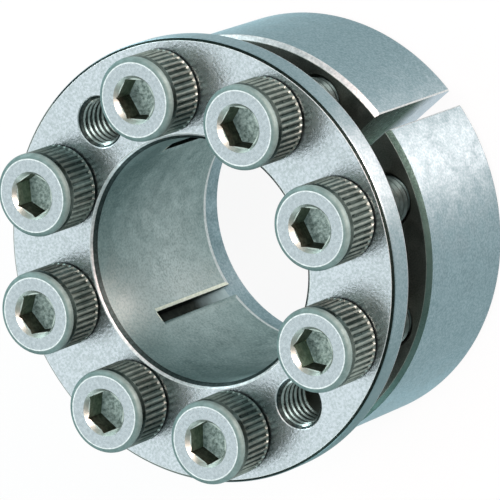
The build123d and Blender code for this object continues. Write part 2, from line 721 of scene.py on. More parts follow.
@dataclass(frozen=True)
class PressedSteel(PlatedSteel):
    """Plated steel as it comes from the heading press, in patches of tone, with painted shade above a height
    if one is given.

    Attributes:
        patch_size: Width of one patch of tone.
        unshaded: The colour low down, below the painted shade; the same as elsewhere if left out.
        shade_thins_from: Height at which the painted shade starts to thin.
        shade_gone_at: Height at which the painted shade is gone.
    """

    patch_size: float = 1.2 * MM
    unshaded: Colour | None = None
    shade_thins_from: float = 0.0
    shade_gone_at: float = 0.0

    def material(self) -> bpy.types.Material:
        """Make the finish's material.

        Returns:
            The new material.
        """
        wiring = self.wire(900.0, 3.0)
        shader = wiring.nodes["Principled BSDF"].inputs
        patch = wiring.grain(1.0 / self.patch_size, 5.0)
        colour = wiring.blend(wiring.spread(patch, 0.0, 1.0, (0.36, 0.64)), self.deep, self.pale)
        if self.unshaded is not None:
            # Painted shade: the colour is darker above a height and gives way to the unshaded colour lower
            # down; the mirror tint follows it.
            height = wiring.round_and_up()[1]
            drift = wiring.math("MULTIPLY_ADD", patch, SHADE_WANDER, height)
            middle = SHADE_WANDER / 2
            unshaded_share = wiring.spread(drift, 1.0, 0.0, (self.shade_gone_at + middle, self.shade_thins_from + middle))
            colour = wiring.blend(unshaded_share, colour, self.unshaded)
            wiring.feed(shader["Specular Tint"], wiring.blend(unshaded_share, self.edge_tint, (1, 1, 1)))
        wiring.feed(shader["Base Color"], colour)
        wiring.feed(shader["Normal"], wiring.bump(wiring.grain(2600.0, 4.0), self.grain_depth))
        return wiring.owner


@dataclass(frozen=True)
class StudioPaper:
    """White paper sweep under the part.

    Attributes:
        shade: The paper's colour in the room's light.
        glow: How much of the paper shows as plain white to the eye and in reflections.
    """

    shade: float = 0.88
    glow: float = 0.92

    def material(self) -> bpy.types.Material:
        """Make the paper's material.

        Returns:
            The new material.
        """
        wiring = Wiring(bpy.data.materials.new("studio_paper"))
        paper = wiring.nodes["Principled BSDF"]
        fibre = wiring.spread(wiring.grain(60.0, 3.0), self.shade - 0.01, self.shade + 0.01)
        colour = wiring.add("ShaderNodeCombineColor", {"Red": fibre, "Green": fibre, "Blue": fibre})
        wiring.feed(paper.inputs["Base Color"], colour.outputs[0])
        paper.inputs["Roughness"].default_value = 0.9
        paper.inputs["Specular IOR Level"].default_value = 0.2
        light = wiring.add("ShaderNodeEmission", {"Color": (1, 1, 1, 1)})
        rays = wiring.add("ShaderNodeLightPath").outputs
        seen = wiring.math("MAXIMUM", rays["Is Camera Ray"], rays["Is Glossy Ray"])
        share = wiring.math("MULTIPLY", seen, self.glow)
        mix = wiring.add("ShaderNodeMixShader", {0: share, 1: paper.outputs[0], 2: light.outputs[0]})
        wiring.feed(wiring.nodes["Material Output"].inputs["Surface"], mix.outputs[0])
        return wiring.owner


class Palette:
    """All finishes of the assembly."""

    flange_face = TurnedSteel(
        "flange_face", (0.45, 0.50, 0.53), (0.33, 0.38, 0.39), (0.21, 0.3), grain_depth=0.045 * MM,
        grain_size=0.42 * MM, speckle=0.85, edge_tint=(0.92, 0.95, 0.95), turning=Turning.FACED,
    )
    # The pale patch in the bore is a painted highlight.
    sleeve_barrel = TurnedSteel(
        "sleeve_barrel", (0.375, 0.49, 0.485), (0.21, 0.305, 0.30), speckle=0.6,
        lighting_patch=(-18.0 * MM, 6.0 * MM, 18.5 * MM), lighting_patch_reach=17.5 * MM, **SATIN,
    )
    outer_barrel = TurnedSteel(
        "outer_barrel", (0.345, 0.47, 0.51), (0.23, 0.345, 0.375), speckle=0.88, **SATIN,
    )
    # The dark patch on the rim near azimuth -93 is a painted reflection of dark surroundings.
    flange_rim = TurnedSteel(
        "flange_rim", (0.36, 0.475, 0.51), (0.24, 0.35, 0.375), speckle=0.7,
        lighting_patch=(-2.0 * MM, -34.4 * MM, 34.0 * MM), lighting_patch_reach=26.0 * MM, lighting_patch_tone=(0.09, 0.165, 0.16),
        **SATIN,
    )
    # Darker than the other plating: painted shade, used on the outer ring's flat faces and holes and on the
    # far side of the rim's chamfer.
    outer_face = TurnedSteel(
        "outer_face", (0.24, 0.27, 0.24), (0.14, 0.165, 0.145), (0.3, 0.42), grain_depth=0.004 * MM,
        turning=Turning.FACED,
    )
    # Painted shade: the outer ring's front chamfer, dark, and darker still in a patch by the slit.
    ring_edge = TurnedSteel(
        "ring_edge", (0.095, 0.165, 0.15), (0.06, 0.115, 0.10), (0.42, 0.55),
        edge_tint=(0.1, 0.17, 0.155), lighting_patch=(31.8 * MM, -4.5 * MM, 21.7 * MM), lighting_patch_reach=28.0 * MM,
        lighting_patch_tone=(0.008, 0.02, 0.016),
    )
    # Slit walls: a random mottle, with painted shade that darkens them towards the front and fades out lower
    # down.
    sawn_wall = PressedSteel(
        "sawn_wall", (0.36, 0.46, 0.41), (0.03, 0.055, 0.045), (0.24, 0.34), grain_depth=0.012 * MM,
        patch_size=0.45 * MM, edge_tint=(0.3, 0.37, 0.34), unshaded=(0.36, 0.50, 0.58), shade_thins_from=10.0 * MM,
        shade_gone_at=4.5 * MM,
    )
    mouth_shade = PressedSteel(
        "mouth_shade", (0.06, 0.085, 0.085), (0.025, 0.04, 0.038), (0.4, 0.5), patch_size=0.5 * MM,
    )
    # Painted highlight, cream, along the slots' bevel and top end.
    slot_highlight = PressedSteel("slot_highlight", (0.93, 0.97, 0.84), (0.75, 0.8, 0.68), (0.45, 0.6), patch_size=0.5 * MM)
    # Painted shade: the taper bore seen through the slots is near black high up and turns to a lit tone lower
    # down.
    taper_bore = PressedSteel(
        "taper_bore", (0.03, 0.035, 0.03), (0.012, 0.015, 0.013), (0.3, 0.45), grain_depth=0.004 * MM,
        patch_size=0.9 * MM, unshaded=(0.38, 0.49, 0.50), shade_thins_from=13.0 * MM, shade_gone_at=4.6 * MM,
    )
    # Painted shade: the slots' walls, dark.
    slot_wall = PressedSteel(
        "slot_wall", (0.10, 0.12, 0.11), (0.03, 0.04, 0.035), (0.3, 0.45), grain_depth=0.01 * MM,
        patch_size=0.4 * MM,
    )
    # Painted shade: near-black chamfers and edges.
    dark_edge = PressedSteel(
        "dark_edge", (0.018, 0.03, 0.026), (0.007, 0.013, 0.011), (0.4, 0.5), grain_depth=0.004 * MM,
        patch_size=0.6 * MM,
    )
    # Painted highlight: bright lines along edges where light catches them.
    edge_highlight = PressedSteel(
        "edge_highlight", (0.74, 0.80, 0.80), (0.52, 0.58, 0.58), (0.4, 0.55),
        patch_size=0.5 * MM,
    )
    screw_top = PressedSteel(
        "screw_top", (0.38, 0.43, 0.45), (0.28, 0.325, 0.34), (0.22, 0.32), grain_depth=0.008 * MM,
        patch_size=0.5 * MM, edge_tint=(0.92, 0.95, 0.95),
    )
    # Painted shade: the head's rounded edge in a darker tone than its top.
    head_band = PressedSteel(
        "head_band", (0.26, 0.37, 0.36), (0.19, 0.285, 0.275), (0.72, 0.8),
    )
    knurl = PressedSteel(
        "knurl", (0.30, 0.37, 0.335), (0.20, 0.26, 0.235), (0.45, 0.55), grain_depth=0.001 * MM,
        patch_size=1.5 * MM,
    )
    # Painted shade: a dark copy of the knurl for its grooves, the head's seat and the plain band under the
    # rounded edge.
    knurl_groove = PressedSteel(
        "knurl_groove", (0.12, 0.15, 0.135), (0.065, 0.085, 0.075), (0.25, 0.36), grain_depth=0.001 * MM,
        patch_size=1.5 * MM,
    )
    socket_wall = PressedSteel(
        "socket_wall", (0.58, 0.62, 0.50), (0.32, 0.36, 0.27), (0.3, 0.42), grain_depth=0.006 * MM,
        patch_size=0.6 * MM,
    )
    # Painted shade: a dark copy of the socket walls, laid on one side of each socket.
    socket_shade = PressedSteel(
        "socket_shade", (0.16, 0.15, 0.115), (0.06, 0.058, 0.042), (0.35, 0.5), grain_depth=0.006 * MM,
        patch_size=0.6 * MM,
    )
    socket_floor = PressedSteel(
        "socket_floor", (0.40, 0.50, 0.47), (0.12, 0.17, 0.155), (0.3, 0.45), grain_depth=0.02 * MM,
        patch_size=0.5 * MM,
    )
    socket_mouth = PressedSteel(
        "socket_mouth", (0.50, 0.58, 0.54), (0.36, 0.43, 0.39), (0.45, 0.55),
    )
    rolled_thread = PressedSteel(
        "rolled_thread", (0.155, 0.185, 0.175), (0.09, 0.115, 0.105), (0.26, 0.38),
        grain_depth=0.001 * MM,
    )
    # Painted highlight: the light copy of the thread's finish, for its crests.
    thread_crest = PressedSteel(
        "thread_crest", (0.52, 0.59, 0.56), (0.30, 0.37, 0.34), (0.25, 0.38), grain_depth=0.004 * MM,
        patch_size=0.6 * MM,
    )
    # Painted shade: the dark copy of the thread's finish, for its roots.
    thread_root = PressedSteel(
        "thread_root", (0.10, 0.12, 0.11), (0.025, 0.03, 0.027), (0.35, 0.5), grain_depth=0.003 * MM,
        patch_size=0.6 * MM,
    )
    paper = StudioPaper()


# --- Pieces ---


@dataclass
class ScrewThread:
    """Coarse metric thread, modelled as a true right-hand helix.

    Attributes:
        crest: Radius over the crests.
        root: Radius in the roots.
        pitch: Rise of one turn.
        columns: Steps round one turn.
    """

    crest: float
    root: float
    pitch: float = THREAD_PITCH
    columns: int = 40

    @property
    def parting(self) -> float:
        """Radius at which the flanks change from one finish to the other."""
        return self.root + 0.35 * (self.crest - self.root)

    def rod(self, name: str, bottom: float, top: float) -> Piece:
        """Make a threaded rod about the axis.

        Args:
            name: The rod's name.
            bottom: Height of its lower end.
            top: Height of its upper end.

        Returns:
            A closed rod with flat ends.
        """
        start = math.floor(bottom / self.pitch) * self.pitch - self.pitch
        eighth = self.pitch / 8
        rod = trace(name, [
            (self.crest, start), (self.crest, start + eighth), (self.parting, start + 2.95 * eighth),
            (self.root, start + 4 * eighth), (self.root, start + 5 * eighth),
            (self.parting, start + 6.05 * eighth), (self.crest, start + 8 * eighth),
        ])
        helix = rod.modifiers.new("helix", "SCREW")
        helix.axis = "Z"
        helix.angle = ROUND_TURN
        helix.screw_offset = self.pitch
        helix.iterations = math.ceil((top - bottom) / self.pitch) + 3
        helix.steps = self.columns
        helix.render_steps = self.columns
        bpy.ops.object.modifier_apply(modifier=helix.name)
        with editing(rod):
            take_all()
            bpy.ops.mesh.remove_doubles(threshold=WELD)
            for height, upper in ((bottom, False), (top, True)):
                take_all()
                bpy.ops.mesh.bisect(
                    plane_co=(0, 0, height), plane_no=(0, 0, 1), use_fill=True,
                    clear_inner=not upper, clear_outer=upper, threshold=WELD,
                )
            take_all()
            bpy.ops.mesh.normals_make_consistent(inside=False)
        return rod


@dataclass
class CapScrew:
    """Socket head cap screw with a knurled head, seated on height zero.

    Attributes:
        head_height: Height of the head.
        length: Length under the head.
        thread: The shank's thread.
        head_radius: Radius over the knurl.
        edge: How far the head's upper edge is rounded off.
        flats: Size of the key that fits the socket.
        socket_depth: Depth of the socket's walls.
        mouth_radius: Radius of the socket's coned mouth.
        mouth_depth: Depth of the socket's coned mouth.
        ridges: Knurl ridges round the head.
        ridge_steps: Columns of each ridge.
        knurl_depth: Depth of the knurl's grooves.
    """

    head_height: float
    length: float
    thread: ScrewThread
    head_radius: float = 6.5 * MM
    edge: float = 0.92 * MM
    flats: float = 6.0 * MM
    socket_depth: float = 4.0 * MM
    mouth_radius: float = 3.74 * MM
    mouth_depth: float = 0.66 * MM
    ridges: int = 40
    ridge_steps: int = 8
    knurl_depth: float = 0.3 * MM

    @property
    def socket_reach(self) -> float:
        """Radius over the corners of the socket."""
        return self.flats / math.sqrt(3)

    def blank(self) -> Piece:
        """Turn the head, with an even skin where the knurl will be.

        Returns:
            The head without its knurl and socket.
        """
        rim = self.head_radius
        top = self.head_height
        skin = [Corner(rim, height * MM) for height in (0.45, 0.7, 2.4, 4.2, 5.7, 6.15, 6.3)]
        corners = [
            Corner(0, 0),
            Corner(rim - 0.75 * MM, 0, 0.08 * MM),
            Corner(rim - 0.3 * MM, 0.3 * MM, 0.08 * MM),
            Corner(rim - 0.04 * MM, 0.34 * MM),
            *skin,
            Corner(rim, top, self.edge),
            Corner(rim - 2.2 * MM, top),
            Corner(MM, top),
            Corner(0, top),
        ]
        return lathe("cap_screw", soften(corners, 9), self.ridges * self.ridge_steps)

    def knurl(self, head: Piece) -> None:
        """Press the knurl's grooves into the head's wall.

        Args:
            head: The turned head.
        """
        low, high = 0.6 * MM, 6.0 * MM
        step = ROUND_TURN / (self.ridges * self.ridge_steps)
        with editing(head):
            for column in range(1, self.ridge_steps // 2 + 1):
                sink = (1 - math.cos(ROUND_TURN * column / self.ridge_steps)) / 2
                same = {column, self.ridge_steps - column}

                def grooved(place: Vector) -> bool:
                    """Whether a place lies in these columns of the knurl."""
                    if not low < place.z < high or ring_distance(place) < self.head_radius * 0.98:
                        return False
                    turn = round(math.atan2(place.y, place.x) / step) % self.ridge_steps
                    return turn in same

                pick_vertices(head, grooved)
                size = 1 - sink * self.knurl_depth / self.head_radius
                bpy.ops.transform.resize(value=(size, size, 1), center_override=(0, 0, 0))

    def socket_cutter(self) -> Piece:
        """Make the punch of the socket.

        Returns:
            A hexagonal punch with its drill point and the coned mouth.
        """
        top = self.head_height
        floor = top - self.socket_depth
        deselect_everything()
        bpy.ops.mesh.primitive_cylinder_add(
            vertices=6, radius=self.socket_reach, depth=self.socket_depth + 2 * MM,
            location=(0, 0, floor + self.socket_depth / 2 + MM), rotation=(0, 0, math.radians(30)),
        )
        punch = bpy.context.object
        bpy.ops.object.transform_apply(location=True, rotation=True, scale=True)
        with editing(punch):
            pick_vertices(punch, lambda place: place.z < floor + 0.1 * MM)
            for inset, sink in ((0.25 * MM, 0.12 * MM), (1.6 * MM, 0.35 * MM)):
                bpy.ops.mesh.inset(thickness=inset)
                bpy.ops.transform.translate(value=(0, 0, -sink))
        mouth = lathe("mouth", [
            (0, top - self.mouth_depth),
            (self.mouth_radius - 0.52 * MM, top - self.mouth_depth),
            (self.mouth_radius, top),
            (self.mouth_radius + 0.2 * MM, top + 0.3 * MM),
            (0, top + 0.3 * MM),
        ], 96)
        carve(punch, mouth, "UNION")
        return punch

    def build(self) -> Piece:
        """Make one whole screw.

        Returns:
            The screw, its head seated on height zero.
        """
        head = self.blank()
        self.knurl(head)
        carve(head, self.socket_cutter())
        shank = self.thread.rod("shank", -self.length, 0.5 * MM)
        crest = self.thread.crest
        trim = lathe("trim", soften([
            Corner(0, -self.length),
            Corner(crest - 0.9 * MM, -self.length, 0.1 * MM),
            Corner(crest + 0.1 * MM, -self.length + MM),
            Corner(crest + 0.1 * MM, MM),
            Corner(0, MM),
        ]), 64)
        carve(shank, trim, "INTERSECT")
        return join([head, shank])

    def coats(self, screw: Piece) -> Coats:
        """Choose the finishes of a screw.

        Args:
            screw: The screw.

        Returns:
            The screw's coats.
        """
        return Coats(screw, (
            Palette.screw_top, Palette.socket_wall, Palette.socket_floor, Palette.head_band,
            Palette.knurl, Palette.rolled_thread, Palette.edge_highlight, Palette.knurl_groove,
            Palette.thread_root, Palette.socket_shade, Palette.socket_mouth,
        ))

    def dress(self, screw: Piece) -> None:
        """Give a screw its finishes.

        Args:
            screw: The whole screw.
        """
        coats = self.coats(screw)
        coats.lay()
        top, reach = self.head_height, self.socket_reach
        inside = top - self.socket_depth - MM
        rim = self.head_radius - self.edge
        groove = self.head_radius - 0.5 * self.knurl_depth
        coats.paint(Palette.rolled_thread, lambda spot: spot.up < 0)
        coats.paint(Palette.knurl, lambda spot: spot.up > 0 and spot.out > rim)
        # Painted shade on the head's rounded edge.
        coats.paint(Palette.head_band, lambda spot: spot.up > top - 0.95 * MM and spot.out > rim)
        # Painted highlight along the edge of the head's top.
        coats.paint(Palette.edge_highlight, lambda spot: (
            spot.up > top - 0.01 * MM and spot.lean < 0.9999 and spot.out > rim
        ))
        # Painted shade in the knurl's grooves, at the head's seat and on the plain band under the rounded
        # edge.
        coats.paint(Palette.knurl_groove, lambda spot: (
            (0.7 * MM < spot.up < 5.7 * MM and rim < spot.out < groove)
            or 0 < spot.up < 0.45 * MM or (6.1 * MM < spot.up < top - 0.85 * MM and spot.out > rim)
        ))
        coats.paint(Palette.socket_wall, lambda spot: (
            inside < spot.up < top - 0.02 * MM and spot.out < reach + 0.05 * MM
        ))
        coats.paint(Palette.socket_floor, lambda spot: inside < spot.up < top - MM and spot.lean > 0.5)
        coats.paint(Palette.socket_mouth, lambda spot: (
            top - 0.7 * MM < spot.up < top - 0.02 * MM and spot.lean > 0.3 and spot.out < reach + 0.45 * MM
        ))
        # Painted shade in the shank thread's roots.
        coats.paint(Palette.thread_root, lambda spot: spot.up < 0 and spot.out < self.thread.parting)
        smooth(screw)

    def shade_socket(self, screw: Piece, centre: Vector) -> None:
        """Paint shade on the socket walls on one side, as a darker copy of their finish.

        Args:
            screw: The dressed screw in its place.
            centre: Where the head is seated.
        """
        floor = centre.z + self.head_height - self.socket_depth - 0.2 * MM
        shaded_side = direction(SHADED_SIDE, 0)
        # Painted shade on the socket walls on that side.
        self.coats(screw).paint(Palette.socket_shade, lambda spot: (
            spot.up > floor and abs(spot.lean) < 0.3 and spot.normal.dot(shaded_side) < -0.5
            and ring_distance(spot.place - centre) < self.socket_reach
        ))


@dataclass
class FlangedSleeve:
    """Inner ring: a flange with a thicker middle and a slotted, tapered sleeve.

    Attributes:
        flange: Radius of the flange's rim.
        front: Height of the flange's face.
        sleeve_end: Height of the sleeve's lower end.
        screw_places: Azimuths of the screws.
        screw_circle: Radius on which the screws stand.
        thread: The thread of the jacking holes.
        jack_places: Azimuths of the jacking holes.
        slot_places: Azimuths of the slots.
        bore: Radius of the shaft's bore.
        rim_thickness: Thickness of the flange's rim.
        rim_chamfer: Chamfer of the rim's front edge.
        shoulder_radius: Radius of the flange's thicker middle.
        shoulder_depth: Thickness of the flange's thicker middle.
        neck_radius: Outer radius of the sleeve next to the flange.
        cone_top: Height at which the cone meets the neck.
        slot_width: Width of the slots.
        slot_top: Height of the slots' upper ends.
        hole_radius: Radius of the screws' holes.
    """

    flange: float
    front: float
    sleeve_end: float
    screw_places: Sequence[float]
    screw_circle: float
    thread: ScrewThread
    jack_places: Sequence[float] = (90, 270)
    slot_places: Sequence[float] = (0, 90, 180, 270)
    bore: float = 19.0 * MM
    rim_thickness: float = 4.5 * MM
    rim_chamfer: float = 0.5 * MM
    shoulder_radius: float = 31.5 * MM
    shoulder_depth: float = 7.5 * MM
    neck_radius: float = 21.5 * MM
    cone_top: float = 24.0 * MM
    slot_width: float = 2.0 * MM
    slot_top: float = 25.3 * MM
    hole_radius: float = 4.5 * MM

    def body(self) -> Piece:
        """Turn the flange and the sleeve in one piece.

        Returns:
            The body without slots and holes.
        """
        bore, end, front = self.bore, self.sleeve_end, self.front
        end_radius = self.neck_radius - (self.cone_top - end) * math.tan(TAPER)
        shoulder = front - self.shoulder_depth
        rim_back = front - self.rim_thickness
        fine = 0.12 * MM
        corners = [
            Corner(bore, end + 12 * MM),
            Corner(bore, end + 0.9 * MM, fine),
            Corner(bore + 0.2 * MM, end, 0.06 * MM),
            Corner(end_radius - 0.2 * MM, end, 0.06 * MM),
            Corner(end_radius, end + 0.2 * MM, 0.06 * MM),
            Corner(self.neck_radius, self.cone_top, 0.3 * MM),
            Corner(self.neck_radius, shoulder, 0.7 * MM),
            Corner(self.shoulder_radius - 0.5 * MM, shoulder, fine),
            Corner(self.shoulder_radius, shoulder + 0.5 * MM, fine),
            Corner(self.shoulder_radius, rim_back, 0.2 * MM),
            Corner(self.flange - 0.4 * MM, rim_back, fine),
            Corner(self.flange, rim_back + 0.4 * MM, fine),
            Corner(self.flange, front - self.rim_chamfer, fine),
            Corner(self.flange - 0.12 * MM, front - 0.38 * MM),
            Corner(self.flange - self.rim_chamfer, front, 0.06 * MM),
            Corner(bore + 0.8 * MM, front, fine),
            Corner(bore + 0.5 * MM, front - 0.3 * MM),
            Corner(bore, front - 0.8 * MM, fine),
            Corner(bore, self.slot_top + 0.22 * MM),
            Corner(bore, end + 12 * MM),
        ]
        return lathe("inner_ring_piece", soften(corners), RING_STEPS)

    def slot_cutter(self, azimuth: float) -> Piece:
        """Make the saw that cuts one slot, a little wider at the bore's edge.

        Args:
            azimuth: Where the slot is.

        Returns:
            The cutter.
        """
        blade = saw(
            (self.bore - MM, self.neck_radius + MM), (self.sleeve_end - MM, self.slot_top),
            self.slot_width, self.bore + 0.25 * MM, 2.9, inward=True,
        )
        settle(blade, Matrix.Rotation(math.radians(azimuth), 4, "Z"))
        return blade

    def tap(self, low: float, high: float) -> Piece:
        """Make the threaded cutter of a jacking hole, with a flared mouth.

        Args:
            low: Height of the hole's lower end.
            high: Height of the hole's mouth.

        Returns:
            The cutter, about the axis.
        """
        tap = self.thread.rod("tap", low - 1.5 * MM, high + 1.5 * MM)
        mouth = self.thread.crest + 0.15 * MM
        flare = lathe("flare", [
            (0, high - 0.7 * MM), (self.thread.root, high - 0.7 * MM), (mouth - 0.45 * MM, high - 0.4 * MM),
            (mouth - 0.14 * MM, high - 0.12 * MM), (mouth, high), (mouth, high + MM), (0, high + MM),
        ], HOLE_STEPS)
        carve(tap, flare, "UNION")
        return tap

    def build(self) -> Piece:
        """Make the inner ring with its slots and holes.

        Returns:
            The finished piece.
        """
        ring = self.body()
        low, high = self.front - self.shoulder_depth, self.front
        hole = drill(self.hole_radius, 0.3 * MM, low, high)
        cutters = spread_round(hole, self.screw_places, self.screw_circle)
        cutters += spread_round(self.tap(low, high), self.jack_places, self.screw_circle)
        cutters += [self.slot_cutter(azimuth) for azimuth in self.slot_places]
        carve(ring, join(cutters))
        return ring

    def sawn(self, spot: Spot) -> bool:
        """Say whether a face is a slot's wall or end.

        Args:
            spot: The middle of the face.

        Returns:
            Whether it was sawn.
        """
        near = min(abs(spot.place.x), abs(spot.place.y)) < self.slot_width / 2 + 0.5 * MM
        return near and spot.up < self.slot_top + 0.5 * MM and spot.lean > -0.9 and (
            self.bore - MM < spot.out < self.neck_radius - 0.05 * MM
        ) and abs(spot.normal.dot(outward(spot.place))) < 0.95

    def jack_distance(self, spot: Spot) -> float:
        """Measure how far a face is from the nearer jacking hole's axis.

        Args:
            spot: The middle of the face.

        Returns:
            The distance.
        """
        axes = [standing(azimuth, self.screw_circle, 0).translation for azimuth in self.jack_places]
        return min(math.hypot(spot.place.x - axis.x, spot.place.y - axis.y) for axis in axes)

    def dress(self, ring: Piece) -> None:
        """Give the inner ring its finishes.

        Args:
            ring: The finished piece.
        """
        coats = Coats(ring, (
            Palette.flange_face, Palette.sleeve_barrel, Palette.slot_wall, Palette.dark_edge,
            Palette.edge_highlight, Palette.thread_root, Palette.thread_crest, Palette.flange_rim,
            Palette.slot_highlight, Palette.outer_face, Palette.mouth_shade,
        ))
        coats.lay()
        coats.paint(Palette.sleeve_barrel, lambda spot: (
            abs(spot.lean) < 0.75 and spot.out < self.neck_radius + MM
        ))
        coats.paint(Palette.flange_rim, lambda spot: (
            abs(spot.lean) < 0.75 and spot.out > self.shoulder_radius - 0.6 * MM
        ))
        self.dress_slots(coats)
        self.dress_edges(coats)
        self.dress_jacks(coats)
        smooth(ring)

    def dress_slots(self, coats: Coats) -> None:
        """Paint the slots: painted shade on the walls, a plain bevel, and a painted highlight on part of the
        bevel and along each slot's top end.

        Args:
            coats: The inner ring's coats.
        """
        half, top, bevel = self.slot_width / 2, self.slot_top, self.bore + 0.28 * MM
        highlight_side = direction(-60, 0)
        # Painted shade on the slots' walls.
        coats.paint(Palette.slot_wall, self.sawn)
        coats.paint(Palette.sleeve_barrel, lambda spot: spot.out < bevel and self.sawn(spot))
        # Painted highlight on the bevel faces that look towards azimuth -60, and at each slot's top end.
        coats.paint(Palette.slot_highlight, lambda spot: spot.out < bevel and self.sawn(spot) and (
            spot.normal.dot(highlight_side) > 0.3 and abs(spot.place.y) < self.slot_width
        ))
        coats.paint(Palette.slot_highlight, lambda spot: top < spot.up < top + 0.22 * MM and (
            spot.out < self.bore + 0.1 * MM and min(abs(spot.place.x), abs(spot.place.y)) < half
        ))

    def dress_edges(self, coats: Coats) -> None:
        """Paint the rim's chamfer with painted shade, darkest on the near side, and painted highlights along
        the edges of rim and bore.

        Args:
            coats: The inner ring's coats.
        """
        front, bore, rim = self.front, self.bore, self.flange
        near_side = direction(-18, 0)
        # Painted shade on the rim's chamfer, darker still on the near side.
        coats.paint(Palette.outer_face, lambda spot: (
            spot.up > front - 0.38 * MM and spot.out > rim - self.rim_chamfer
        ))
        coats.paint(Palette.dark_edge, lambda spot: (
            spot.up > front - 0.38 * MM and spot.out > rim - self.rim_chamfer
            and outward(spot.place).dot(near_side) > -0.45
        ))
        # Painted highlights along the rim's edges and round the bore's mouth.
        coats.paint_edge(Palette.edge_highlight, rim, front - self.rim_thickness + 0.4 * MM, 0.1 * MM)
        coats.paint_edge(Palette.edge_highlight, rim - self.rim_chamfer, front, 0.07 * MM)
        coats.paint(Palette.edge_highlight, lambda spot: (
            spot.up > front - MM and 0.2 < spot.lean < LEVEL and bore < spot.out < bore + 0.9 * MM
        ))
        coats.paint(Palette.mouth_shade, lambda spot: front - MM < spot.up < front - 0.3 * MM and (
            bore < spot.out < bore + 0.5 * MM and 0.2 < spot.lean < 0.95
        ))
        # Painted highlight along the sleeve's lower end.
        coats.paint(Palette.edge_highlight, lambda spot: (
            spot.up < self.sleeve_end + 0.95 * MM and spot.out < bore + 0.3 * MM
        ))

    def dress_jacks(self, coats: Coats) -> None:
        """Paint the jacking holes: painted highlight on the thread crests and round the mouths, painted shade
        in the roots and mouths.

        Args:
            coats: The inner ring's coats.
        """
        front, low = self.front, self.front - self.shoulder_depth
        crest, parting = self.thread.crest, self.thread.parting
        # Painted highlight on the thread's crests, painted shade in its roots.
        coats.paint(Palette.thread_crest, lambda spot: spot.up > low and self.jack_distance(spot) < parting)
        coats.paint(Palette.thread_root, lambda spot: spot.up > low and spot.lean < 0.95 and (
            parting <= self.jack_distance(spot) < crest + 0.2 * MM
        ))
        coats.paint(Palette.mouth_shade, lambda spot: spot.up > front - 0.39 * MM and (
            0.3 < spot.lean < 0.95 and self.jack_distance(spot) < crest + 0.6 * MM
        ))
        # Painted highlight round the mouths' edges.
        coats.paint(Palette.edge_highlight, lambda spot: spot.up > front - 0.11 * MM and (
            spot.lean < 0.95 and self.jack_distance(spot) < crest + 0.6 * MM
        ))


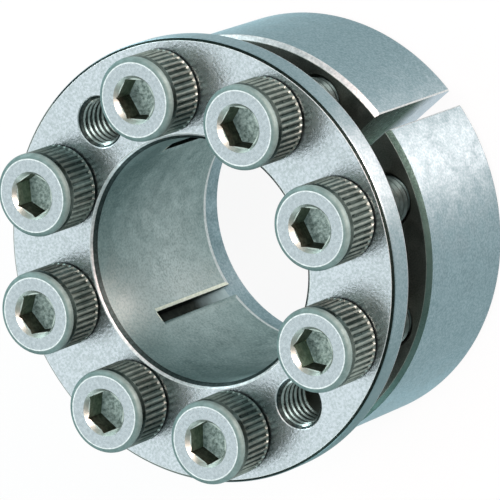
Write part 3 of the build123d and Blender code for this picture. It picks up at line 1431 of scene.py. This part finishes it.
@dataclass
class SplitRing:
    """Outer ring: a split ring with a taper bore and tapped holes.

    Attributes:
        radius: Radius of the hub's seat.
        length: Length along the axis.
        screw_places: Azimuths of the screws.
        screw_circle: Radius on which the screws stand.
        front_bore: Radius of the taper bore at the front.
        front_chamfer: Chamfer of the front edge.
        back_chamfer: Chamfer of the back edge.
        shade_line: Height above which the taper bore gets painted shade.
        slit_width: Width of the slit.
        hole_radius: Radius of the tapped holes.
    """

    radius: float
    length: float
    screw_places: Sequence[float]
    screw_circle: float
    front_bore: float = 21.55 * MM
    front_chamfer: float = 0.7 * MM
    back_chamfer: float = 0.5 * MM
    shade_line: float = 4.6 * MM
    slit_width: float = 2.8 * MM
    hole_radius: float = 4.0 * MM

    def build(self) -> Piece:
        """Make the split ring.

        Returns:
            The finished piece.
        """
        radius, length, bore = self.radius, self.length, self.front_bore
        back_bore = bore - length * math.tan(TAPER)
        fine = 0.1 * MM
        ring = lathe("outer_ring_piece", soften([
            Corner(radius, length / 2),
            Corner(radius, length - self.front_chamfer, fine),
            Corner(radius - self.front_chamfer, length, fine),
            Corner(bore + 0.3 * MM, length, 0.05 * MM),
            Corner(bore - 0.03 * MM, length - 0.3 * MM, 0.05 * MM),
            Corner(back_bore + self.shade_line * math.tan(TAPER), self.shade_line),
            Corner(back_bore, 0, 0.05 * MM),
            Corner(radius - self.back_chamfer, 0, fine),
            Corner(radius, self.back_chamfer, fine),
            Corner(radius, length / 2),
        ]), RING_STEPS)
        hole = drill(self.hole_radius, 0.4 * MM, 0, length)
        cutters = spread_round(hole, self.screw_places, self.screw_circle)
        cutters.append(saw(
            (bore - 5 * MM, radius + MM), (-2 * MM, length + 2 * MM), self.slit_width, radius - 0.2 * MM, 2.2
        ))
        carve(ring, join(cutters))
        return ring

    def dress(self, ring: Piece) -> None:
        """Give the outer ring its finishes.

        Args:
            ring: The finished piece.
        """
        coats = Coats(ring, (
            Palette.outer_barrel, Palette.outer_face, Palette.sawn_wall, Palette.dark_edge,
            Palette.edge_highlight, Palette.taper_bore, Palette.ring_edge,
        ))
        coats.lay()
        radius, length, bore, half = self.radius, self.length, self.front_bore, self.slit_width / 2
        coats.paint(Palette.outer_face, lambda spot: (
            abs(spot.lean) > 0.9 or bore + 0.3 * MM < spot.out < radius - 1.5 * MM
        ))
        # Painted shade on the front chamfer.
        coats.paint(Palette.ring_edge, lambda spot: (
            spot.up > length - 0.75 * MM and spot.out > radius - 0.8 * MM
        ))
        coats.paint_edge(Palette.outer_face, radius - self.front_chamfer, length, 0.06 * MM)
        # Painted shade on the back chamfer, where the ring meets the floor.
        coats.paint(Palette.dark_edge, lambda spot: spot.up < 0.55 * MM and spot.out > radius - 0.6 * MM)
        # Painted shade on the taper bore above that height.
        coats.paint(Palette.taper_bore, lambda spot: (
            spot.up > self.shade_line and spot.lean < 0.9 and spot.out < bore + 0.1 * MM
        ))
        # Painted highlights: the front chamfer on one side of the slit, the slit's outer edges and the
        # chamfer's outer edge on that side.
        coats.paint(Palette.edge_highlight, lambda spot: (
            spot.place.y > half and spot.up > length - 0.65 * MM and spot.out > radius - 0.66 * MM
        ))
        coats.paint(Palette.sawn_wall, lambda spot: (
            abs(spot.normal.y) > 0.9 and abs(spot.place.y) < half + 0.1 * MM and spot.place.x > 0
        ))
        coats.paint(Palette.edge_highlight, lambda spot: (
            abs(spot.normal.y) > 0.35 and spot.place.x > radius - 0.35 * MM
            and half - 0.05 * MM < abs(spot.place.y) < half + 0.6 * MM
        ))
        coats.paint(Palette.edge_highlight, lambda spot: spot.place.y > half and abs(spot.lean) < LEVEL and (
            math.hypot(spot.out - radius, spot.up - length + self.front_chamfer) < 0.09 * MM
        ))
        smooth(ring)


# --- Studio ---


@dataclass(frozen=True)
class Softbox:
    """Soft rectangular lamp aimed at the part.

    Attributes:
        name: The lamp's name.
        azimuth: Degrees about the axis from the slit.
        elevation: Degrees above the floor.
        distance: Metres from the part.
        size: Width and height in metres.
        power: Watts.
        tint: Colour of the light.
    """

    name: str
    azimuth: float
    elevation: float
    distance: float
    size: Span
    power: float
    tint: Colour = (1.0, 1.0, 1.0)

    def place(self, aim: Vector) -> None:
        """Hang the lamp.

        Args:
            aim: What the lamp points at.
        """
        lamp = bpy.data.lights.new(self.name, "AREA")
        lamp.shape = "RECTANGLE"
        lamp.size, lamp.size_y = self.size
        lamp.energy = self.power
        lamp.color = self.tint
        stand = bpy.data.objects.new(self.name, lamp)
        bpy.context.scene.collection.objects.link(stand)
        away = direction(self.azimuth, self.elevation)
        stand.location = aim + away * self.distance
        stand.rotation_euler = away.to_track_quat("Z", "Y").to_euler()


@dataclass
class Studio:
    """Floor, lamps, sky and camera round the part.

    Attributes:
        aim: What the camera and the lamps point at.
        camera_azimuth: Degrees about the axis from the slit.
        camera_elevation: Degrees above the floor.
        camera_roll: Degrees by which the camera is turned about its view.
        camera_distance: Metres from the aim.
        lens: Focal length in millimetres.
        window_azimuth: Where the sky is brightest.
        sky_behind_camera: The sky's colour on the dark side.
        sky_by_window: The sky's colour on the bright side.
        lamps: The softboxes.
    """

    aim: Vector = Vector((-0.00123, -0.0007, 0.02066))
    camera_azimuth: float = -17.85
    camera_elevation: float = 55.37
    camera_roll: float = -110.47
    camera_distance: float = 0.8208
    lens: float = 383.3
    window_azimuth: float = 162.0
    sky_behind_camera: Colour = (0.24, 0.31, 0.315)
    sky_by_window: Colour = (0.5, 0.55, 0.56)
    lamps: tuple[Softbox, ...] = (
        Softbox("window", azimuth=162, elevation=52, distance=0.9, size=(1.2, 1.0), power=4.0),
        Softbox("key", azimuth=-10, elevation=12, distance=0.8, size=(0.36, 0.3), power=13.4,
                tint=(1.0, 0.68, 0.63)),
        Softbox("far", azimuth=100, elevation=14, distance=0.8, size=(0.25, 0.3), power=2.4,
                tint=(0.84, 0.95, 1.0)),
        Softbox("overhead", azimuth=22, elevation=55, distance=0.9, size=(0.4, 0.4), power=1.6),
        Softbox("side", azimuth=-123, elevation=12, distance=0.8, size=(0.25, 0.3), power=1.2,
                tint=(0.85, 0.94, 1.0)),
    )

    def build(self) -> None:
        """Set up the studio."""
        deselect_everything()
        bpy.ops.mesh.primitive_plane_add(size=6.0, location=(0, 0, -0.02 * MM))
        floor = bpy.context.object
        floor.name = "studio_floor"
        floor.data.materials.append(Palette.paper.material())
        for lamp in self.lamps:
            lamp.place(self.aim)
        self.hang_sky()
        self.camera()
        bpy.context.scene.view_settings.view_transform = "Standard"

    def hang_sky(self) -> None:
        """Light the room faintly, brighter on the window's side than behind the camera."""
        world = bpy.data.worlds.new("studio_sky")
        bpy.context.scene.world = world
        wiring = Wiring(world)
        window = direction(self.window_azimuth, 20)
        view = wiring.coordinates["Generated"]
        across = wiring.add("ShaderNodeVectorMath", {0: view, 1: window}, operation="DOT_PRODUCT")
        fade = wiring.spread(across.outputs["Value"], 0.0, 1.0, (-0.9, 0.7), interpolation_type="SMOOTHSTEP")
        colour = wiring.blend(fade, self.sky_behind_camera, self.sky_by_window)
        wiring.feed(wiring.nodes["Background"].inputs["Color"], colour)

    def camera(self) -> None:
        """Set up the camera, rolled so that the part lies on its side in the picture."""
        camera = bpy.data.cameras.new("camera")
        camera.lens = self.lens
        camera.sensor_width = 36.0
        camera.clip_start = 0.01
        stand = bpy.data.objects.new("camera", camera)
        bpy.context.scene.collection.objects.link(stand)
        away = direction(self.camera_azimuth, self.camera_elevation)
        stand.location = self.aim + away * self.camera_distance
        rolled = Matrix.Rotation(math.radians(self.camera_roll), 3, "Z")
        stand.rotation_euler = (away.to_track_quat("Z", "Y").to_matrix() @ rolled).to_euler()
        bpy.context.scene.camera = stand


# --- The whole assembly ---


def stand_for(piece: Piece, node: str) -> None:
    """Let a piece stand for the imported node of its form.

    Args:
        piece: The finished piece.
        node: The node and body that it stands for.
    """
    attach(piece, node)
    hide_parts(node)
    LOG.info("%s stands for %s with %d faces", piece.name, node, len(piece.data.polygons))


def build_screws(places: Sequence[float], circle: float, seat: float) -> None:
    """Build the screws, all alike but turned as each came to stop.

    Args:
        places: Azimuths of the screws.
        circle: Radius on which they stand.
        seat: Height of the face on which the heads sit.
    """
    low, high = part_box("screw_1")
    screw = CapScrew(
        head_height=high[2] - seat, length=seat - low[2], thread=ScrewThread(crest=3.95 * MM, root=3.25 * MM)
    )
    model = screw.build()
    screw.dress(model)
    for number, (azimuth, turn) in enumerate(zip(places, SOCKET_TURNS), start=1):
        piece = twin(model, f"screw_{number}_piece")
        place = standing(azimuth, circle, seat, turn)
        settle(piece, place)
        # Painted shade on one side of this socket.
        screw.shade_socket(piece, place.translation)
        stand_for(piece, f"screw_{number}")
    bpy.data.objects.remove(model)


def main() -> None:
    """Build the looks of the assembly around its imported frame."""
    logging.basicConfig(level=logging.INFO, format="%(message)s")
    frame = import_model()

    seats = [joint["pos_m"] for joint in frame["joints"] if joint["name"].startswith("screw_")]
    places = [math.degrees(math.atan2(seat[1], seat[0])) % 360 for seat in seats]
    circle = math.hypot(seats[0][0], seats[0][1])
    build_screws(places, circle, seats[0][2])

    low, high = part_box("inner_ring")
    sleeve = FlangedSleeve(
        flange=high[0], front=high[2], sleeve_end=low[2], screw_places=places, screw_circle=circle,
        thread=ScrewThread(crest=4.0 * MM, root=3.37 * MM),
    )
    inner = sleeve.build()
    sleeve.dress(inner)
    stand_for(inner, "inner_ring")

    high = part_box("outer_ring")[1]
    split = SplitRing(radius=high[1], length=high[2], screw_places=places, screw_circle=circle)
    outer = split.build()
    split.dress(outer)
    stand_for(outer, "outer_ring")

    Studio().build()


if __name__ == "__main__":
    main()
